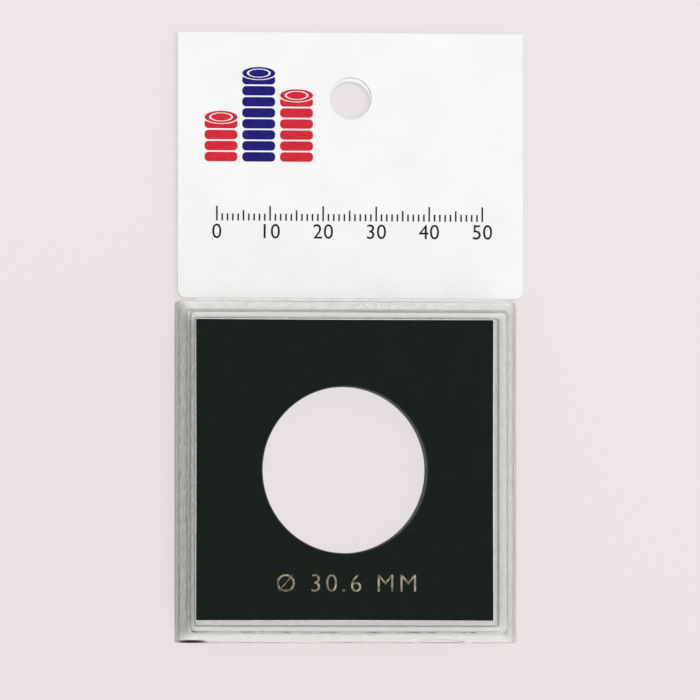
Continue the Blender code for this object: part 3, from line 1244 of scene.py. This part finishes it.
# %% Header plies
HEADER_MIDDLE = 1.4 * MM
HEADER_HALF, HEADER_LOW, HEADER_HIGH = 32.5 * MM, 32.45 * MM, 81.85 * MM
HEADER_CORNER, CORNER_STEPS = 1.5 * MM, 8
HANG_HOLE, HANG_HOLE_RADIUS = (1.4 * MM, 69.65 * MM), 3.95 * MM
HOLE_SLIP = (0.1875 * MM, 0.75 * MM)  # how far the back ply's hole lies to the left and down
FILM, FILM_EDGE, FILM_RINGS = 0.1 * MM, 0.02 * MM, 60
FRONT_FILM_TOP, BACK_FILM_TOP = 0.92 * MM, 0.35 * MM
PLIES_MEET = 0.34 * MM
CLIMB_FROM, CLIMB_LENGTH = 37.2, 4.0  # mm
SHARP_EDGE = math.radians(30.0)

header_outline = []
for step in range(CORNER_STEPS + 1):
    angle = math.pi / 2 * (step / CORNER_STEPS - 1)
    x = HEADER_HALF + HEADER_CORNER * (math.cos(angle) - 1)
    y = HEADER_LOW + HEADER_CORNER * (math.sin(angle) + 1)
    header_outline.append((x, y))
header_outline.append((HEADER_HALF, HEADER_HIGH))
header_outline += [(-x, y) for x, y in reversed(header_outline)]
header_outline = [(HEADER_MIDDLE + x, y) for x, y in header_outline]


def back_film_rise(x, y):
    """The back ply's waves, and its climb to the front ply above the film sealed between them."""
    climb = min(max((y / MM - CLIMB_FROM) / CLIMB_LENGTH, 0.0), 1.0)
    return film_rise(x, y) + PLIES_MEET * climb**2 * (3 - 2 * climb)


for name, node, top, slip, rise in (
    ("header_front_film", "header_front_ply", FRONT_FILM_TOP, (0.0, 0.0), film_rise),
    ("header_back_film", "header_back_ply", BACK_FILM_TOP, HOLE_SLIP, back_film_rise),
):
    mesh = holed_plate(
        name,
        header_outline,
        (HANG_HOLE[0] - slip[0], HANG_HOLE[1] - slip[1]),
        HANG_HOLE_RADIUS,
        top - FILM,
        top,
        (FILM_EDGE, FILM_EDGE),
        [step / FILM_RINGS for step in range(1, FILM_RINGS)],
        rise,
    )
    mesh.materials.append(white_film)
    mesh.shade_smooth()
    mesh.set_sharp_from_angle(angle=SHARP_EDGE)
    add_piece(name, mesh, "header", "white_film", node)

# %% [markdown]
# A strip of clear film is sealed between the plies and runs on behind the case. When the header
# folds, this film bends in the short gap between the two. The strip has many narrow rows there, so
# that the bend is smooth.

# %% Clear tail
TAIL_HALF, TAIL_LOW, TAIL_TOP = 29.0 * MM, 0.48 * MM, 0.58 * MM
ROWS_BEHIND_CASE = [27.85, 29.0, 30.5, 31.6]  # mm
ROWS_IN_BEND = [31.75 + 0.05 * i for i in range(15)]  # mm
ROWS_IN_SEAL = [33.0, 35.0, 36.85]  # mm
CLEAR_FILM_INDEX, CLEAR_FILM_RIPPLE = 1.5, (2.5, 2.5, 2.5)  # the ripple is in mm

# Clear film is thin enough to have no colour of its own. Its ripples blur what is behind it a
# little.
clear_film, tree, shader = clear_plastic(
    "clear film", "#F6F7F6", roughness=0.12, clearness=1.0, index=CLEAR_FILM_INDEX
)
uneven(
    tree,
    shader,
    CLEAR_FILM_RIPPLE,
    tints=("#F3F5F3", "#FBFCFB"),
    roughness=(0.08, 0.16),
    relief=0.008,
)
tail_rings = []
for y in ROWS_BEHIND_CASE + ROWS_IN_BEND + ROWS_IN_SEAL:
    section = [(-TAIL_HALF, TAIL_LOW), (TAIL_HALF, TAIL_LOW), (TAIL_HALF, TAIL_TOP)]
    section += [(-TAIL_HALF, TAIL_TOP)]
    tail_rings.append([Vector((HEADER_MIDDLE + x, y * MM, z)) for x, z in section])
tail_mesh = loft("header_tail_film", tail_rings)
tail_mesh.materials.append(clear_film)
tail = bpy.data.objects.new("header_tail_film", tail_mesh)
scene.collection.objects.link(tail)
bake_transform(tail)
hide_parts("header_tail")
print(f"{tail.name}: {len(tail_mesh.polygons)} faces, from case to header")

# %% [markdown]
# A strip of adhesive holds the tail to the back of the case. It is a low block with round corners,
# so two rings are enough.

# %% Adhesive strip
STRIP_HALF, STRIP_CORNER = (28.0 * MM, 1.6 * MM), 0.4 * MM
STRIP_LOW, STRIP_TOP, STRIP_MIDDLE_Y = 0.64 * MM, 0.94 * MM, 29.75 * MM
ADHESIVE_INDEX, ADHESIVE_RIPPLE = 1.47, (2.4, 1.6, 1.6)  # the ripple is in mm

# Pressure-sensitive adhesive is a soft clear rubber, milky from fine bubbles, with a wet look.
adhesive, tree, shader = clear_plastic(
    "milky adhesive", "#F8F8F4", roughness=0.3, clearness=0.9, index=ADHESIVE_INDEX
)
uneven(
    tree,
    shader,
    ADHESIVE_RIPPLE,
    tints=("#F6F6F2", "#FEFEFC"),
    roughness=(0.2, 0.35),
    relief=0.008,
)
strip_rings = [rounded_ring(*STRIP_HALF, STRIP_CORNER, height) for height in (STRIP_LOW, STRIP_TOP)]
strip_mesh = loft("adhesive_strip", strip_rings)
strip_mesh.transform(Matrix.Translation((HEADER_MIDDLE, STRIP_MIDDLE_Y, 0.0)))
strip_mesh.materials.append(adhesive)
add_piece("adhesive_strip", strip_mesh, "case", "adhesive", "header_adhesive")

# %% [markdown]
# The print on the header is a plain design: three stacks of coins, in red and blue, and a ruler in
# millimetres for measuring them. A printed shape is a stack of narrow rows, so that it can follow
# the film: every point is moved up by the film's own waves, and each ink lies on the one before.

# %% Printed inks
INK = 0.012 * MM
INK_PATCH, INK_ROUGHNESS, INK_RELIEF = (0.6, 0.6, 0.6), (0.45, 0.6), 0.002  # patch and relief in mm
CELLS, ROWS = 10, 12

# Printing ink dries to a thin dull film, a little darker where it lies thick.
red_ink, blue_ink, black_ink, white_ink = (
    opaque_finish(name, INK_PATCH, tints, INK_ROUGHNESS, INK_RELIEF, Specular_IOR_Level=0.25)
    for name, *tints in (
        ("red ink", "#CE2032", "#DD283B"),
        ("blue ink", "#171170", "#1F1982"),
        ("black ink", "#101010", "#1A1A1A"),
        ("white ink", "#F3F3F3", "#F9F9F9"),
    )
)


def print_on_film(name, mesh, layer):
    """Lays a flat mesh on the front ply, in a given layer of ink, as a piece of the header."""
    for vertex in mesh.vertices:
        x, y, z = vertex.co
        vertex.co.z = z + FRONT_FILM_TOP + film_rise(x, y) + layer * INK
    add_piece(name, mesh, "header", "white_film")


def printed_shape(name, middle, low, height, reach_at, cells=CELLS):
    """A flat shape in rows, from its lower edge up, whose half width at each height is given."""
    rings = []
    for row in range(ROWS + 1):
        rise = height * (1 - math.cos(math.pi * row / ROWS)) / 2
        reach = reach_at(rise)
        places = [middle + reach * (2 * step / cells - 1) for step in range(cells + 1)]
        ring = [Vector((x, low + rise, 0.0)) for x in places]
        rings.append(ring + [Vector((x, low + rise, INK)) for x in reversed(places)])
    return loft(name, rings)


print("inks:", [material.name for material in (red_ink, blue_ink, black_ink, white_ink)])

# %% [markdown]
# A coin from the side is a bar with round corners, and the face of the top coin is a flat ellipse.
# The stacks are rows of one bar, made by the same tree as the ribs.

# %% Printed coin stacks
COIN_WIDTH, COIN_RISE, COIN_PITCH, COIN_ROUND = 6.2 * MM, 1.75 * MM, 2.05 * MM, 0.75 * MM
STACK_LEFT, STACK_FOOT, STACK_PITCH = -26.1 * MM, 57.8 * MM, 7.1 * MM
STACKS = ((4, red_ink), (8, blue_ink), (6, red_ink))  # number of coins, and ink
FACE_RISE, FACE_LIFT = 2.3 * MM, 0.35 * MM  # the lift is from the top of the coin below
FACE_RINGS = ((1.12, white_ink), (1.0, None), (0.72, white_ink), (0.60, None))  # size and ink
FACE_TIP = 0.01 * MM  # half the width of an ellipse at its ends, so that no face is empty
STACK_LAYER, FACE_LAYERS = 1.5, 2.5  # in thicknesses of ink


def coin_side(rise):
    """Half the width of a coin seen from the side, at a height above its lower edge."""
    inside = max(COIN_ROUND - min(rise, COIN_RISE - rise), 0.0)
    return COIN_WIDTH / 2 - COIN_ROUND + math.sqrt(COIN_ROUND**2 - inside**2)


def coin_face(share):
    """Half the width of an ellipse of a share of the face's size, at a height above its foot."""

    def reach_at(rise):
        up = 2 * rise / (share * FACE_RISE) - 1
        return share * COIN_WIDTH / 2 * math.sqrt(max(1 - up**2, 0.0)) + FACE_TIP

    return reach_at


for column, (coins, ink) in enumerate(STACKS, start=1):
    middle = STACK_LEFT + COIN_WIDTH / 2 + (column - 1) * STACK_PITCH
    coin = printed_shape("coin", middle, STACK_FOOT, COIN_RISE, coin_side)
    stack = row_of(coin, coins, (0.0, COIN_PITCH, 0.0), ink)
    print_on_film(f"print_stack_{column}", stack, STACK_LAYER)
    face_middle = STACK_FOOT + (coins - 1) * COIN_PITCH + COIN_RISE + FACE_LIFT
    for number, (share, over) in enumerate(FACE_RINGS, start=1):
        low = face_middle - share * FACE_RISE / 2
        face = printed_shape("face", middle, low, share * FACE_RISE, coin_face(share))
        face.materials.append(over or ink)
        print_on_film(f"print_face_{column}_{number}", face, STACK_LAYER + FACE_LAYERS * number)

# %% [markdown]
# The ruler is a row of ticks a millimetre apart, from the same tree, with a figure under each tenth
# one. The figures keep the font's own weight, because a heavier one closes the eye of the 4.

# %% Printed ruler
RULER_LEFT, RULER_BASE, RULER_LENGTH = -23.8 * MM, 46.8 * MM, 50
TICK_WIDTH, TICK_HEIGHT = 0.3 * MM, 1.3 * MM
FIFTH_TICK, TENTH_TICK = 1.5, 2.1  # how much longer these are
FIGURE_HEIGHT, FIGURE_DROP, FIGURE_SPACING = 2.7 * MM, 3.3 * MM, 1.05
RULER_LAYER = 0.5  # in thicknesses of ink

tick = printed_shape("tick", 0.0, 0.0, TICK_HEIGHT, lambda rise: TICK_WIDTH / 2, cells=1)
ticks = row_of(tick, RULER_LENGTH + 1, (1.0 * MM, 0.0, 0.0), black_ink, FIFTH_TICK, TENTH_TICK)
ticks.transform(Matrix.Translation((RULER_LEFT, RULER_BASE, 0.0)))
print_on_film("print_ruler", ticks, RULER_LAYER)
for number in range(0, RULER_LENGTH + 1, 10):
    figure = text_mesh(f"figure_{number}", str(number), FIGURE_HEIGHT, INK, FIGURE_SPACING)
    spot = (RULER_LEFT + number * MM, RULER_BASE - FIGURE_DROP, 0.0)
    figure.transform(Matrix.Translation(spot))
    figure.materials.append(black_ink)
    print_on_film(f"print_figure_{number}", figure, RULER_LAYER)

# %% [markdown]
# The dressed model has to keep the size of the plain one. The last line prints the box of the
# dressed model.

# %% Size of the dressed model
low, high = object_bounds()
print("visual box, mm:", [round(v / MM, 2) for v in (*low, *high)])
